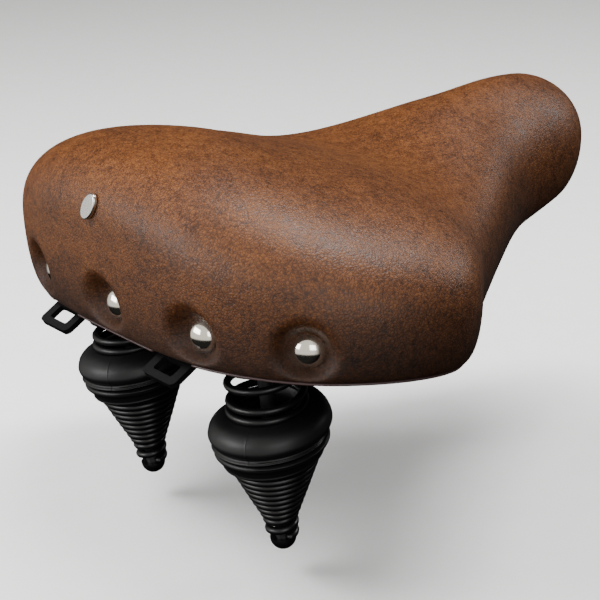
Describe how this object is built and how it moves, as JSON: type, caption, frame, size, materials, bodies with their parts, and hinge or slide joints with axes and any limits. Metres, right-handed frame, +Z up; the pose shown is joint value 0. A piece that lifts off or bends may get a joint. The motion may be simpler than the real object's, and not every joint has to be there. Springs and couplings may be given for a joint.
{
  "type": "sprung bicycle saddle",
  "caption": "Wide padded leather bicycle saddle with a riveted back edge, bag loops, hanging conical springs and a rail frame hinged at the nose.",
  "frame": {"origin": "midway between the two rails' centre lines, at the middle of their straight clamping length", "axes": "+Y toward the nose, +X to the rider's right, +Z up"},
  "size_m": [0.2424, 0.2679, 0.1673],
  "materials": {
    "leather": "aged brown leather, satin, fine grain",
    "foam": "moulded foam pad",
    "pan_plastic": "black moulded plastic",
    "trim": "dark brown-black edge band",
    "black_steel": "black satin paint",
    "zinc_steel": "zinc plated",
    "rivet_chrome": "polished",
    "stud_metal": "satin silver",
    "loop_plastic": "black moulded plastic, semi-gloss",
    "spring_steel": "black semi-gloss",
    "band_elastomer": "black, satin",
    "rubber": "black, matt",
    "nylon": "natural nylon"
  },
  "bodies": {
    "rail_frame": {"nose_sleeve": "black_steel", "rail_left": "black_steel", "nose_bush_left": "nylon", "tension_rod_left": "black_steel", "lock_nut_left": "zinc_steel", "rebound_washer_left": "rubber", "tip_cap_left": "spring_steel", "spring_left": "spring_steel", "upper_band_left": "band_elastomer", "lower_band_left": "band_elastomer", "rail_right": "black_steel", "nose_bush_right": "nylon", "tension_rod_right": "black_steel", "lock_nut_right": "zinc_steel", "rebound_washer_right": "rubber", "tip_cap_right": "spring_steel", "spring_right": "spring_steel", "upper_band_right": "band_elastomer", "lower_band_right": "band_elastomer"},
    "seat": {"cover": "leather", "foam_pad": "foam", "base_pan": "pan_plastic", "edge_trim": "trim", "edge_trim_back": "trim", "nose_bracket": "black_steel", "pivot_pin": "zinc_steel", "pin_clip": "zinc_steel", "bracket_screws": "zinc_steel", "badge_stud": "stud_metal", "rivet_washers": "zinc_steel", "rivet_left_outer": "rivet_chrome", "rivet_left_inner": "rivet_chrome", "rivet_centre": "rivet_chrome", "rivet_right_inner": "rivet_chrome", "rivet_right_outer": "rivet_chrome", "bag_loop_left": "loop_plastic", "spring_bracket_left": "black_steel", "bump_stop_left": "rubber", "bag_loop_right": "loop_plastic", "spring_bracket_right": "black_steel", "bump_stop_right": "rubber"}
  },
  "joints": [
    {"name": "seat_suspension", "type": "hinge", "parent": "rail_frame", "child": "seat", "pos_m": [0, 0.095, 0.042], "axis": [1, 0, 0], "range_deg": [0, 3], "stiffness_Nm_per_rad": 1500, "deforming": ["spring_left", "upper_band_left", "lower_band_left", "spring_right", "upper_band_right", "lower_band_right"]}
  ]
}
